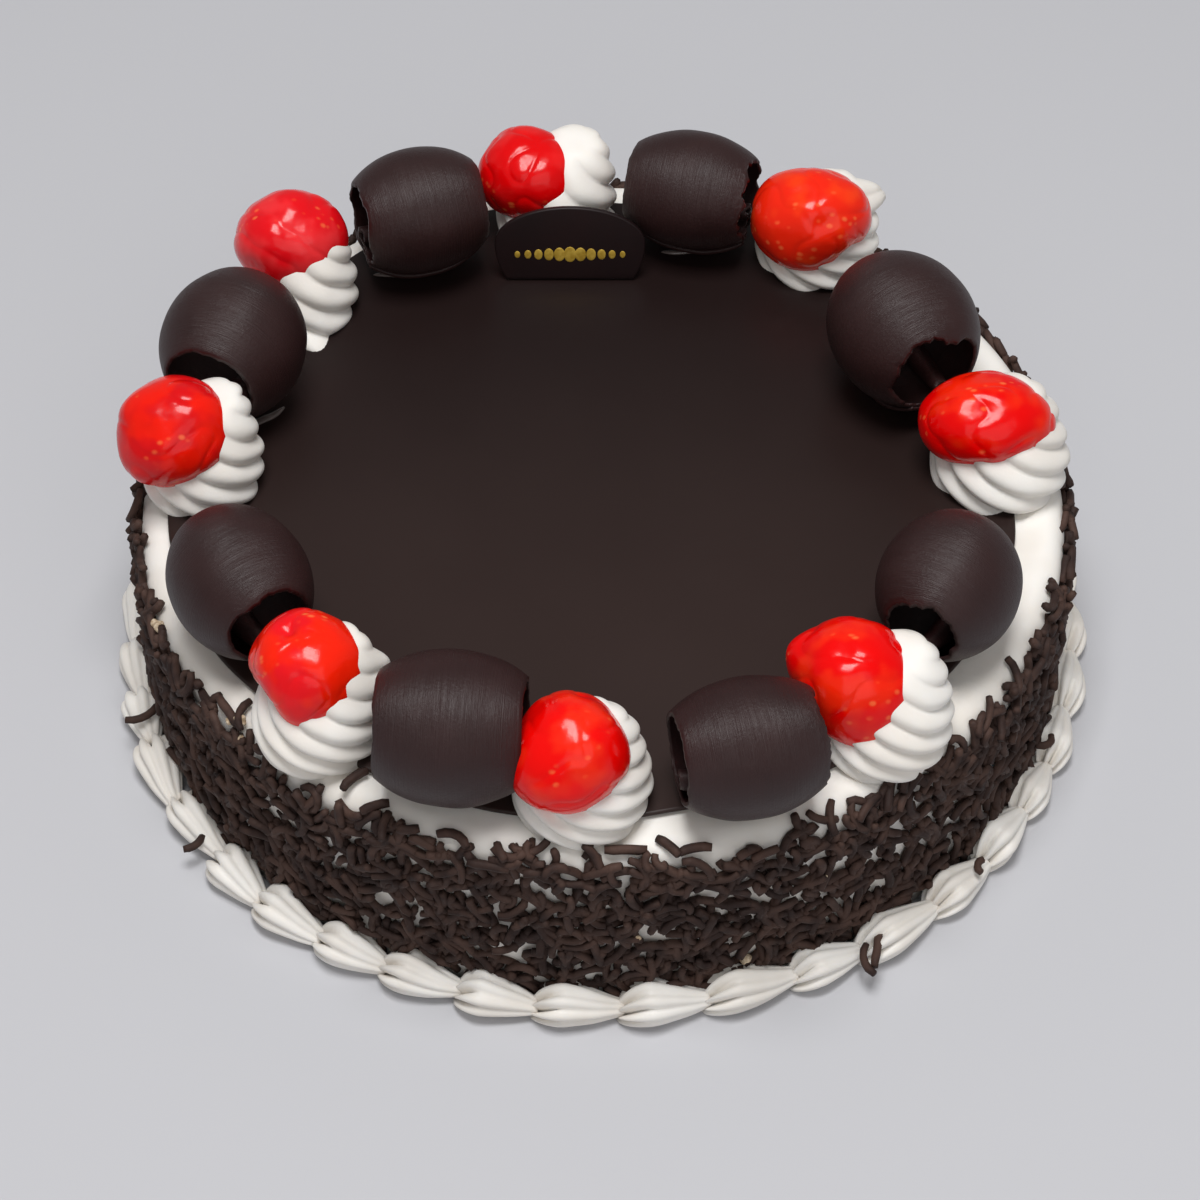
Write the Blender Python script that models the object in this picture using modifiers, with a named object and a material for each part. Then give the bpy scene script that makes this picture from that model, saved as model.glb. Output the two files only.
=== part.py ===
"""Black forest cake: a round cream-coated cake with a dark glaze on top, a ring of
piped swirls that each hold a glace cherry, rolled chocolate curls between them, a
small chocolate plaque, and a piped shell border round the foot.

Metres, +Z up. The origin is the centre of the flat underside, and -Y is the front.
"""

import math
import random

import bmesh
import bpy
from mathutils import Vector

MM = 0.001
GAP = 0.3 * MM
SHARP_EDGE = math.radians(50)
JOIN_WITHIN = 0.01 * MM

# The cream-coated cake: a straight wall with a rounded top rim.
CAKE_RADIUS = 98 * MM
CAKE_HEIGHT = 48 * MM
RIM_ROUND = 5 * MM
RIM_STEPS = 4
ROUND_STEPS = 48

# The glaze lies on the cream and stops short of the rim.
GLAZE_RADIUS = 90 * MM
GLAZE_THICKNESS = 1.2 * MM
GLAZE_EDGE = 0.4 * MM
DECK = CAKE_HEIGHT + GAP + GLAZE_THICKNESS
SEAT_FLOOR = CAKE_HEIGHT / 2

# The shell border: fat heads that taper to tails, piped anticlockwise.
SHELL_COUNT = 40
SHELL_REACH = 107.2 * MM
SHELL_WIDTH = 9.2 * MM
SHELL_HEIGHT = 8.4 * MM
SHELL_STATIONS = ((0.0, 0.45), (0.15, 1.0), (0.62, 0.86))
SHELL_SECTION_POINTS = 12
SHELL_RIDGE_DEPTH = 0.07
SHELL_UNEVENNESS = 0.1
SHELL_SINK = 0.9
SHELL_CHANCE = 7

# Swirls: fluted domes whose ridges climb clockwise as seen from above.
SWIRL_HEIGHT = 17 * MM
SWIRL_FLUTES = 8
SWIRL_TWIST = math.radians(-200)
SWIRL_TAPER = 0.38
SWIRL_FULLNESS = 0.45
SWIRL_RIDGE_DEPTH = 0.10
SWIRL_FOOT_DROP = 4 * MM
SWIRL_RINGS = 6
SWIRL_TURN = math.radians(11)

# Bearing in degrees from +X, distance from the centre and foot width in mm.
SWIRLS = (
    (-93, 84, 31),
    (-130, 88, 30),
    (179.5, 85, 29),
    (141, 87, 29),
    (98, 81, 31),
    (56, 86, 31),
    (2.5, 84, 33),
    (-51, 88, 30),
)

# One cherry on each swirl: sideways, backward and upward from the swirl's foot,
# then width, depth and height, in mm.
CHERRIES = (
    (-2.5, -1.5, 15.0, 25.0, 24.0, 24.0),
    (-1.5, 2.5, 15.5, 23.0, 23.0, 22.5),
    (-4.0, -0.5, 14.5, 24.5, 24.0, 23.0),
    (-1.0, 4.0, 15.5, 24.5, 22.5, 22.0),
    (-6.0, 1.5, 14.0, 22.0, 21.5, 21.0),
    (-2.0, -2.5, 12.5, 28.0, 24.0, 23.0),
    (-4.0, 0.5, 13.5, 29.0, 22.0, 20.5),
    (-7.0, 2.5, 13.0, 25.0, 25.0, 25.0),
)
CHERRY_LOBE = 0.04
CHERRY_SEGMENTS = 11
CHERRY_RINGS = 6

# A curl nearer than this to a swirl's or a cherry's middle presses a flat into it.
SWIRL_CURL_REACH = 35 * MM
CHERRY_CURL_REACH = 29 * MM

# Curls: sheets rolled into barrels that lie along the ring. Bearing in degrees,
# distance from the centre, length and width in mm, and turn off the tangent in degrees.
CURLS = (
    (-110, 85, 29.0, 32.0, 16),
    (-150, 83.5, 27.5, 30.0, 0),
    (162.5, 83, 27.0, 32.0, 0),
    (121, 79, 27.5, 30.0, -13),
    (75, 78, 28.5, 28.5, 0),
    (24, 70, 30.0, 33.5, 0),
    (-32, 81, 27.0, 30.5, 4),
    (-71.5, 88, 28.5, 29.0, -6),
)
CURL_SHEET = 1.4 * MM
CURL_SPACING = 0.6 * MM
CURL_MOUTH = 0.66
CURL_STATIONS = (-1.0, -0.4, 0.4, 1.0)
CURL_WALL_STEPS = 12
CURL_TAIL_STEPS = 2
CURL_SEAM = math.radians(-60)
CURL_TAIL_TURN = math.radians(110)
CURL_TAIL_RADIUS = 0.58
CURL_TAIL_EASE = 1.5
CURL_BEAD_RADIUS = 2.6 * MM
CURL_BEAD_STEPS = 4
CURL_BEAD_FROM = math.radians(150)
CURL_BEAD_SWEEP = math.radians(300)
CURL_CUTTER_SEGMENTS = 16

# The plaque: a round plate with a flattened top and a straight foot.
PLAQUE_RADIUS = 16.8 * MM
PLAQUE_TOP_SQUASH = 0.55
PLAQUE_FOOT = 9 * MM
PLAQUE_THICKNESS = 1.3 * MM
PLAQUE_LEAN = math.radians(12)
PLAQUE_PLACE = (-7.3 * MM, 62.3 * MM)
PLAQUE_SEGMENTS = 24

CREAM = ("cream", (0.87, 0.83, 0.79, 1.0), 0.55)
GLAZE = ("glaze", (0.03, 0.02, 0.018, 1.0), 0.25)
CHOCOLATE = ("chocolate", (0.028, 0.018, 0.016, 1.0), 0.5)
CHERRY = ("cherry", (0.75, 0.01, 0.01, 1.0), 0.15)


def clear_scene():
    for thing in list(bpy.data.objects):
        bpy.data.objects.remove(thing, do_unlink=True)


def new_collection(name):
    group = bpy.data.collections.new(name)
    bpy.context.scene.collection.children.link(group)
    return group


def make_material(finish):
    name, colour, roughness = finish
    found = bpy.data.materials.get(name)
    if found:
        return found
    material = bpy.data.materials.new(name)
    material.use_nodes = True
    shader = material.node_tree.nodes["Principled BSDF"]
    shader.inputs["Base Color"].default_value = colour
    shader.inputs["Roughness"].default_value = roughness
    shader.inputs["Metallic"].default_value = 0.0
    return material


def add_object(name, mesh_builder, group, finish=None):
    """Make an object from a filled bmesh. Without a finish it is a cutter."""
    mesh = bpy.data.meshes.new(name)
    mesh_builder.to_mesh(mesh)
    mesh_builder.free()
    mesh.shade_smooth()
    piece = bpy.data.objects.new(name, mesh)
    group.objects.link(piece)
    if finish:
        mesh.set_sharp_from_angle(angle=SHARP_EDGE)
        mesh.materials.append(make_material(finish))
    else:
        piece.hide_render = True
        piece.display_type = "WIRE"
    return piece


def polar(bearing_degrees, distance, height=0.0):
    bearing = math.radians(bearing_degrees)
    return Vector((distance * math.cos(bearing), distance * math.sin(bearing), height))


def unit_ball(segments, rings):
    ball = bmesh.new()
    bmesh.ops.create_uvsphere(ball, u_segments=segments, v_segments=rings, radius=1.0)
    return ball


def cut(piece, cutter):
    trim = piece.modifiers.new("cut " + cutter.name, "BOOLEAN")
    trim.operation = "DIFFERENCE"
    trim.solver = "EXACT"
    trim.object = cutter


def turned(name, profile, group, finish=None):
    """Turn a profile in the XZ plane, from the top down its outer side, about Z."""
    outline = bmesh.new()
    corners = [outline.verts.new((radius, 0.0, height)) for radius, height in profile]
    for upper, lower in zip(corners, corners[1:]):
        outline.edges.new((upper, lower))
    piece = add_object(name, outline, group, finish)
    screw = piece.modifiers.new("turn", "SCREW")
    screw.axis = "Z"
    screw.steps = ROUND_STEPS
    screw.render_steps = ROUND_STEPS
    screw.use_merge_vertices = True
    screw.merge_threshold = JOIN_WITHIN
    return piece


def rim_arc(radius, height, rounding):
    """Points of the rounded rim, from the flat top to the wall."""
    points = []
    for step in range(RIM_STEPS + 1):
        angle = math.radians(90) * step / RIM_STEPS
        out = radius - rounding + rounding * math.sin(angle)
        up = height - rounding + rounding * math.cos(angle)
        points.append((out, up))
    return points


def make_cake(group):
    profile = [(0.0, CAKE_HEIGHT)]
    profile += rim_arc(CAKE_RADIUS, CAKE_HEIGHT, RIM_ROUND)
    profile += [(CAKE_RADIUS, 0.0), (0.0, 0.0)]
    return turned("cream_cake", profile, group, CREAM)


def make_glaze(group):
    low = CAKE_HEIGHT + GAP
    profile = (
        (0.0, DECK),
        (GLAZE_RADIUS - GLAZE_EDGE, DECK),
        (GLAZE_RADIUS, DECK - GLAZE_EDGE),
        (GLAZE_RADIUS, low),
        (0.0, low),
    )
    return turned("chocolate_glaze", profile, group, GLAZE)


def make_seat_cutter(group):
    """The cake with its glaze, a gap larger all round, which shapes the swirls' feet."""
    profile = [
        (0.0, DECK + GAP),
        (GLAZE_RADIUS + GAP, DECK + GAP),
        (GLAZE_RADIUS + GAP, CAKE_HEIGHT + GAP),
    ]
    profile += rim_arc(CAKE_RADIUS + GAP, CAKE_HEIGHT + GAP, RIM_ROUND + GAP)
    profile += [(CAKE_RADIUS + GAP, SEAT_FLOOR), (0.0, SEAT_FLOOR)]
    return turned("seat_cutter", profile, group)


def shell_starts():
    """Where each shell begins, as a share of the ring. No two are quite as long."""
    chance = random.Random(SHELL_CHANCE)
    lengths = [1 + chance.uniform(-SHELL_UNEVENNESS, SHELL_UNEVENNESS) for _ in range(SHELL_COUNT)]
    total = sum(lengths)
    starts = [0.0]
    for length in lengths:
        starts.append(starts[-1] + length / total)
    return starts


def make_shell_border(group):
    """One piped ring: a torus whose section swells at each head and thins at each tail."""
    stations = len(SHELL_STATIONS)
    bpy.ops.mesh.primitive_torus_add(
        major_segments=SHELL_COUNT * stations,
        minor_segments=SHELL_SECTION_POINTS,
        major_radius=1.0,
    )
    ring = bpy.context.active_object
    ring.name = "cream_shell_border"
    ring.data.name = "cream_shell_border"
    for owner in list(ring.users_collection):
        owner.objects.unlink(ring)
    group.objects.link(ring)
    starts = shell_starts()
    wall = CAKE_RADIUS + GAP
    middle = SHELL_REACH - SHELL_WIDTH / 2
    for vertex in ring.data.vertices:
        x, y, z = vertex.co
        share = (math.atan2(y, x) / math.tau) % 1.0
        index = round(share * SHELL_COUNT * stations) % (SHELL_COUNT * stations)
        shell, station = divmod(index, stations)
        phase, swell = SHELL_STATIONS[station]
        turn = starts[shell] + phase * (starts[shell + 1] - starts[shell])
        around = math.atan2(z, math.hypot(x, y) - 1.0)
        ridge = 1 + SHELL_RIDGE_DEPTH * math.cos(around * SHELL_SECTION_POINTS / 2)
        sideways = math.cos(around)
        reach = SHELL_WIDTH / 2 * swell * ridge if sideways > 0 else middle - wall
        out = middle + reach * sideways
        up = SHELL_HEIGHT / 2 * swell * (SHELL_SINK + ridge * math.sin(around))
        vertex.co = polar(math.degrees(turn * math.tau), out, max(up, 0.0))
    ring.data.shade_smooth()
    ring.data.set_sharp_from_angle(angle=SHARP_EDGE)
    ring.data.materials.append(make_material(CREAM))
    return ring


def swirl_place(number):
    bearing, distance, _ = SWIRLS[number]
    return polar(bearing, distance * MM, DECK)


def make_swirl(number, group):
    """A ball reshaped to a fluted dome whose foot reaches below the deck."""
    width = SWIRLS[number][2] * MM
    dome = unit_ball(SWIRL_FLUTES * 2, SWIRL_RINGS)
    for vertex in dome.verts:
        rise = (vertex.co.z + 1) / 2
        ring = math.hypot(vertex.co.x, vertex.co.y)
        bearing = math.atan2(vertex.co.y, vertex.co.x)
        reach = width / 2 * ring**SWIRL_FULLNESS * (1 - SWIRL_TAPER * rise**2)
        reach *= 1 + SWIRL_RIDGE_DEPTH * math.cos(SWIRL_FLUTES * bearing) * ring
        bearing += SWIRL_TWIST * rise
        up = (SWIRL_HEIGHT + SWIRL_FOOT_DROP) * rise - SWIRL_FOOT_DROP
        vertex.co = (reach * math.cos(bearing), reach * math.sin(bearing), up)
    piece = add_object(f"cream_swirl_{number + 1}", dome, group, CREAM)
    piece.location = swirl_place(number)
    piece.rotation_euler = (0.0, 0.0, number * SWIRL_TURN)
    return piece


def cherry_ball(number, margin):
    """A slightly lobed ball with the cherry's size and a margin all round."""
    size = [measure * MM / 2 + margin for measure in CHERRIES[number][3:]]
    ball = unit_ball(CHERRY_SEGMENTS, CHERRY_RINGS)
    for vertex in ball.verts:
        bearing = math.atan2(vertex.co.y, vertex.co.x)
        lobe = 1 + CHERRY_LOBE * math.cos(3 * bearing + number) * (1 - vertex.co.z**2) - CHERRY_LOBE
        vertex.co = [lobe * value * half for value, half in zip(vertex.co, size)]
    return ball


def place_cherry(piece, number):
    sideways, backward, upward = CHERRIES[number][:3]
    piece.location = swirl_place(number) + Vector((sideways, backward, upward)) * MM


def curl_section(radius):
    """The rolled sheet seen from its end: out along its outer face and back inside."""
    sheet = CURL_SHEET
    steps = CURL_WALL_STEPS + CURL_TAIL_STEPS
    outer, inner = [], []
    for step in range(steps + 1):
        if step <= CURL_WALL_STEPS:
            turned_by = math.tau * step / CURL_WALL_STEPS
            reach = radius - (sheet + CURL_SPACING) * step / CURL_WALL_STEPS
        else:
            share = (step - CURL_WALL_STEPS) / CURL_TAIL_STEPS
            turned_by = math.tau + CURL_TAIL_TURN * share
            start = radius - sheet - CURL_SPACING
            reach = start + (CURL_TAIL_RADIUS * radius - start) * share**CURL_TAIL_EASE
        angle = CURL_SEAM - turned_by
        outward = Vector((math.cos(angle), math.sin(angle)))
        outer.append(outward * reach)
        inner.append(outward * (reach - sheet))
    ending = (outer[-1] + inner[-1]) / 2
    across = (outer[-1] - inner[-1]).normalized()
    onward = Vector((across.y, -across.x))
    middle = ending + onward * CURL_BEAD_RADIUS
    bead = []
    for step in range(CURL_BEAD_STEPS):
        angle = CURL_BEAD_FROM - CURL_BEAD_SWEEP * step / (CURL_BEAD_STEPS - 1)
        spoke = across * math.sin(angle) + onward * math.cos(angle)
        bead.append(middle + spoke * CURL_BEAD_RADIUS)
    return outer, inner, bead


def make_curl(number, group):
    """Extrude the rolled section along the barrel, full at the middle, narrow at the mouths."""
    bearing, distance, length, width, turn = CURLS[number]
    radius = width / 2 * MM
    half_length = length / 2 * MM
    outer, inner, bead = curl_section(radius)
    outline = outer + bead[::-1] + inner[::-1]
    roll = bmesh.new()
    bulge = 1 - CURL_MOUTH**2
    rows = []
    for station in CURL_STATIONS:
        girth = math.sqrt(1 - bulge * station**2)
        rows.append([roll.verts.new((station * half_length, p.x * girth, p.y * girth)) for p in outline])
    for row, following in zip(rows, rows[1:]):
        for index in range(len(row)):
            after = (index + 1) % len(row)
            roll.faces.new((row[index], row[after], following[after], following[index]))
    roll.faces.new(rows[0][::-1])
    roll.faces.new(rows[-1])
    bmesh.ops.recalc_face_normals(roll, faces=roll.faces)
    piece = add_object(f"chocolate_curl_{number + 1}", roll, group, CHOCOLATE)
    piece.location = polar(bearing, distance * MM, DECK + GAP + radius)
    piece.rotation_euler = (0.0, 0.0, math.radians(bearing + 90 + turn))
    return piece


def make_curl_cutter(number, group):
    """A filled barrel, a gap larger than the curl."""
    bearing, distance, length, width, turn = CURLS[number]
    barrel = bmesh.new()
    bmesh.ops.create_cone(
        barrel,
        cap_ends=True,
        segments=CURL_CUTTER_SEGMENTS,
        radius1=1.0,
        radius2=1.0,
        depth=2.0,
    )
    lengthwise = [edge for edge in barrel.edges if abs(edge.verts[0].co.z - edge.verts[1].co.z) > 1]
    cuts = len(CURL_STATIONS) - 1
    bmesh.ops.subdivide_edges(barrel, edges=lengthwise, cuts=cuts, use_grid_fill=True)
    radius = width / 2 * MM + GAP
    half_length = length / 2 * MM + GAP
    bulge = 1 - CURL_MOUTH**2
    for vertex in barrel.verts:
        girth = radius * math.sqrt(1 - bulge * vertex.co.z**2)
        vertex.co = (vertex.co.z * half_length, vertex.co.x * girth, vertex.co.y * girth)
    piece = add_object(f"curl_cutter_{number + 1}", barrel, group)
    piece.location = polar(bearing, distance * MM, DECK + GAP + width / 2 * MM)
    piece.rotation_euler = (0.0, 0.0, math.radians(bearing + 90 + turn))
    return piece


def make_plaque(group):
    plate = bmesh.new()
    bmesh.ops.create_cone(
        plate,
        cap_ends=True,
        segments=PLAQUE_SEGMENTS,
        radius1=PLAQUE_RADIUS,
        radius2=PLAQUE_RADIUS,
        depth=PLAQUE_THICKNESS,
    )
    for vertex in plate.verts:
        if vertex.co.y > 0:
            vertex.co.y *= PLAQUE_TOP_SQUASH
    everything = plate.verts[:] + plate.edges[:] + plate.faces[:]
    foot = bmesh.ops.bisect_plane(
        plate, geom=everything, plane_co=(0, -PLAQUE_FOOT, 0), plane_no=(0, -1, 0), clear_outer=True
    )
    rim = [item for item in foot["geom_cut"] if isinstance(item, bmesh.types.BMEdge)]
    bmesh.ops.contextual_create(plate, geom=rim)
    piece = add_object("chocolate_plaque", plate, group, CHOCOLATE)
    lowest = PLAQUE_FOOT * math.cos(PLAQUE_LEAN) + PLAQUE_THICKNESS / 2 * math.sin(PLAQUE_LEAN)
    x, y = PLAQUE_PLACE
    piece.location = (x, y + PLAQUE_FOOT * math.sin(PLAQUE_LEAN), DECK + GAP + lowest)
    piece.rotation_euler = (math.radians(90) - PLAQUE_LEAN, 0.0, 0.0)
    return piece


def main():
    clear_scene()
    cake_parts = new_collection("black_forest_cake")
    cutters = new_collection("cutters")
    make_cake(cake_parts)
    make_glaze(cake_parts)
    make_shell_border(cake_parts)
    make_plaque(cake_parts)
    seat = make_seat_cutter(cutters)
    curl_cutters = []
    for number in range(len(CURLS)):
        make_curl(number, cake_parts)
        curl_cutters.append(make_curl_cutter(number, cutters))
    for number in range(len(SWIRLS)):
        swirl = make_swirl(number, cake_parts)
        cherry = add_object(f"cherry_{number + 1}", cherry_ball(number, 0.0), cake_parts, CHERRY)
        place_cherry(cherry, number)
        socket = add_object(f"cherry_cutter_{number + 1}", cherry_ball(number, GAP), cutters)
        place_cherry(socket, number)
        cut(swirl, seat)
        cut(swirl, socket)
        for barrel in curl_cutters:
            if (swirl.location.xy - barrel.location.xy).length < SWIRL_CURL_REACH:
                cut(swirl, barrel)
            if (cherry.location.xy - barrel.location.xy).length < CHERRY_CURL_REACH:
                cut(cherry, barrel)


main()
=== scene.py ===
"""Looks of a black forest cake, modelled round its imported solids.

Whipped cream with soft ridges, a poured dark glaze, wet glace cherries, rolled sheets of
chocolate, a small plaque, a piped border and thousands of chocolate strands on the wall.

Metres, +Z up. The cake stands on the XY plane and -Y is its front.
"""

import math
import random

import bmesh
import bpy
from mathutils import Matrix, Vector, noise


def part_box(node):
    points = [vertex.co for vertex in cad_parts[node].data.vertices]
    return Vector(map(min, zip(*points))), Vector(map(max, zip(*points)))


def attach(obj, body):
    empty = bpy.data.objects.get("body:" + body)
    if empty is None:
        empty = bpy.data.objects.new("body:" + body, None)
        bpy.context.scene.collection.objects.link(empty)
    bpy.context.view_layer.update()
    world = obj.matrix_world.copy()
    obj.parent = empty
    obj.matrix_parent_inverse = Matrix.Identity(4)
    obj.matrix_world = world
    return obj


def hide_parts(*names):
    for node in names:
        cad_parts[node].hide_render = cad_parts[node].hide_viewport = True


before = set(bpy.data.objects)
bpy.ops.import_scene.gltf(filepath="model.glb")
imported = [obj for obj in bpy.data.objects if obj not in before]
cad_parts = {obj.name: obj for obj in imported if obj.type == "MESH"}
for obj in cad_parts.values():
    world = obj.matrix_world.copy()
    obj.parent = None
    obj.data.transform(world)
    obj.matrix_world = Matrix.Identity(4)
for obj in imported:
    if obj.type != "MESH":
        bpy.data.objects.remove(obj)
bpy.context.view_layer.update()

MM = 0.001
JOIN_WITHIN = 0.01 * MM

CAKE_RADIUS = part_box("cream_cake")[1].x
CAKE_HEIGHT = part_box("cream_cake")[1].z
GLAZE_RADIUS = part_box("chocolate_glaze")[1].x
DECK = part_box("chocolate_glaze")[1].z
GAP = 0.3 * MM

# Camera: where it stands, how far it looks down, and its lens on a 36 mm wide sensor.
CAMERA_PLACE = (-0.0006, -0.4686, 0.5476)
CAMERA_PITCH = math.radians(48.86)
CAMERA_LENS = 96.7

# Light: a plain pale sky and two lamps, each with its place, size and power.
SKY_STRENGTH = 0.24
OVERHEAD_LAMP = ((-0.03, -0.1, 1.15), 0.45, 10.2)
FRONT_LAMP = ((0.2, -1.0, 0.8), 1.0, 3.2)
LAMP_AIM = Vector((0.0, 0.0, 0.04))
FLOOR_SIZE = 3.0

# Cream body: a straight wall with a rounded rim, smoothed by hand with a palette knife.
RIM_ROUND = 5 * MM
RIM_STEPS = 8
BODY_STEPS = 180
WALL_LEVELS = (0.85, 0.7, 0.55, 0.4, 0.25, 0.1, 0.0)
TOP_RINGS = (16, 13, 10, 7.5)
KNIFE_WAVE = 0.35 * MM
KNIFE_SCALE = 55.0
RIM_WAVE = 0.7 * MM
RIM_WAVE_SCALE = 38.0

# Glaze: a thin poured sheet with an uneven rounded edge, set a little to the left.
GLAZE_STEPS = 240
GLAZE_RINGS = 26
GLAZE_THICKNESS = 1.3 * MM
GLAZE_SHIFT = -2 * MM
GLAZE_LIP_STEPS = 5
GLAZE_EDGE_WAVE = 1.5 * MM
GLAZE_EDGE_SCALE = 45.0
GLAZE_EDGE_INSET = 0.6 * MM
GLAZE_SWELL = 0.10 * MM
GLAZE_SWELL_SCALE = 30.0
BEAD_HEIGHT = 0.55 * MM
BEAD_WAVER = 0.7 * MM
BEAD_SCALE = 200.0

# Piped border: where the shells at the front and the left begin, in degrees.
SHELL_FRONT = (
    (-176.9, -168.5, -161.3, -151.6, -141.6, -133.5, -124.7, -116.1, -106.8)
    + (-98.0, -88.2, -78.5, -68.1, -59.5, -49.0, -39.9, -31.2, -23.3)
)
SHELL_COUNT = 40
SHELL_LINE = 102.6 * MM
SHELL_WIDTH = 10.6 * MM
SHELL_HEIGHT = 10.4 * MM
SHELL_RIDGES = 8
SHELL_RINGS = 20
SHELL_RIDGE_DEPTH = 0.27
SHELL_FULLEST = 0.33
SHELL_TAIL = 0.3
SHELL_OVERLAP = 1.1
SHELL_STEPPED = 0.2
SHELL_WAVER = 0.25 * MM
SHELL_WAVER_SCALE = 160.0
SHELL_SINK = 1.5 * MM

# Swirls: fluted domes whose ridges climb clockwise as seen from above.
SWIRL_RIDGES = 7
SWIRL_RINGS = 60
SWIRL_RIDGE_DEPTH = 0.15
SWIRL_TOP_DEPTH = 0.6
SWIRL_UNEVEN = 0.5
SWIRL_TAPER = 0.4
SWIRL_START = 0.7
SWIRL_TIP_TALL = 0.16
SWIRL_WAVER = 0.5 * MM
SWIRL_WAVER_SCALE = 130.0
SWIRL_FOOT_DROP = 5 * MM
SWIRL_SINK = 2.0 * MM

# Bearing in degrees, distance and foot width in mm, as in the solids; then the height, how
# far the top leans aside and backward, in mm, and the ridges' twist in degrees.
SWIRLS = (
    (-93, 84, 31, 20.0, 2.5, 3.5, -300),
    (-130, 88, 30, 22.5, 5.0, 4.5, -300),
    (179.5, 85, 29, 22.0, 4.5, 4.0, -265),
    (141, 87, 29, 20.5, 3.5, 2.5, -230),
    (98, 81, 31, 23.0, 5.5, 3.5, -230),
    (56, 86, 31, 19.0, 3.0, 2.0, -265),
    (2.5, 84, 33, 20.0, 2.0, 3.5, -230),
    (-51, 88, 30, 21.5, 3.0, 4.0, -290),
)

# Tips that were pulled out when the nozzle left: swirl, bearing, rise, reach in mm, spread.
SWIRL_TIPS = (
    (1, 12, 0.62, 3.5, 0.32),
    (3, -70, 0.1, 5.5, 0.5),
    (5, 20, 0.75, 4.0, 0.3),
)

# Rolled curls: bearing in degrees, distance, length and width in mm, turn off the tangent
# in degrees, how ragged the clockwise and the anticlockwise mouths are, which way the sheet
# winds (1 anticlockwise seen from the anticlockwise mouth, -1 clockwise) and the mouths'
# width as a share of the roll's.
CURLS = (
    (-110, 85, 29.0, 32.0, 16, 0.03, 0.03, -1, 0.68),
    (-150, 83.5, 27.5, 30.0, 0, 0.04, 0.04, -1, 0.62),
    (162.5, 83, 27.0, 32.0, 0, 0.03, 0.03, 1, 0.64),
    (121, 79, 27.5, 30.0, -13, 0.03, 0.06, -1, 0.64),
    (75, 78, 28.5, 28.5, 0, 0.12, 0.03, -1, 0.64),
    (24, 70, 30.0, 33.5, 0, 0.07, 0.05, -1, 0.58),
    (-32, 81, 28.0, 30.5, 4, 0.05, 0.03, -1, 0.5),
    (-71.5, 88, 28.5, 29.0, -6, 0.03, 0.13, -1, 0.66),
)
CURL_SHEET = 1.0 * MM
CURL_SPACING = 0.5 * MM
CURL_SEAM = math.radians(-62)
CURL_WRAP_STEPS = 96
CURL_TAIL_STEPS = 30
CURL_ROLL_STEPS = 24
CURL_LENGTH_STEPS = 40
CURL_TAIL_TURN = math.radians(62)
CURL_TAIL_RADIUS = 0.62
CURL_ROLL_RADIUS = 3.0 * MM
CURL_ROLL_SWEEP = 1.5 * math.pi
CURL_ROLL_TAPER = 0.25
CURL_UNEVEN = 0.012

# Plaque: a thin oval plate with a straight foot, leaning back a little.
PLAQUE_RADIUS = 16.8 * MM
PLAQUE_TOP_SQUASH = 0.55
PLAQUE_FOOT = 9 * MM
PLAQUE_THICKNESS = 1.3 * MM
PLAQUE_LEAN = math.radians(12)
PLAQUE_PLACE = (-7.3 * MM, 62.3 * MM)
PLAQUE_BEVEL = 0.35 * MM
PLAQUE_BEVEL_STEPS = 3
PLAQUE_SEGMENTS = 96
SHARP_EDGE = math.radians(50)

# The plaque's motif: lozenges either side of the middle one, their sizes and spacing.
MOTIF_REACH = 5
MOTIF_SIZE = 2.0
MOTIF_TAPER = 0.22
MOTIF_ASPECT = 0.85 / 1.2
MOTIF_THICKNESS = 0.12 * MM
MOTIF_PITCH = 2.35 * MM
MOTIF_LINE = -2.6 * MM

# Strands: bent rods that cover the wall in loose layers.
STRAND_COUNT = 4200
STRAND_SHAPES = 14
STRAND_SIDES = 6
STRAND_RADIUS = 0.98 * MM
STRAND_LENGTHS = (4.0 * MM, 8.4 * MM)
STRAND_THICKNESS = (0.85, 1.1)
STRAND_BENDS = (0.0, 0.1, 0.25, 0.4, 0.6, 1.0)
STRAND_HOOK = 0.4
STRAND_CUTS = 4
STRAND_BLUNT = 0.16
STRAND_TIP = 0.2
STRAND_SINK = 0.3 * MM
STRAND_LOWEST = 3.5 * MM
STRAND_HIGHEST = 45.5 * MM
STRAND_BANKED = (0, 1, 7)
STRAND_BANK = 2.2 * MM
STRAND_BANK_WIDTH = 0.14


class Link:
    """An output of a node. Arithmetic on it adds Math nodes to its finish."""

    def __init__(self, finish, socket):
        self.finish = finish
        self.socket = socket

    def math(self, operation, first, second):
        inputs = {"Value": first, "Value_001": second}
        return self.finish.node("ShaderNodeMath", {"operation": operation}, inputs)

    def __add__(self, other):
        return self.math("ADD", self, other)

    def __radd__(self, other):
        return self.math("ADD", other, self)

    def __sub__(self, other):
        return self.math("SUBTRACT", self, other)

    def __rsub__(self, other):
        return self.math("SUBTRACT", other, self)

    def __mul__(self, other):
        return self.math("MULTIPLY", self, other)

    def __rmul__(self, other):
        return self.math("MULTIPLY", other, self)

    def fade(self, low, high):
        """0 below low, 1 above high, and smooth between them."""
        inputs = {"Value": self, "From Min": low, "From Max": high}
        return self.finish.node("ShaderNodeMapRange", {"interpolation_type": "SMOOTHSTEP"}, inputs)


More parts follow.
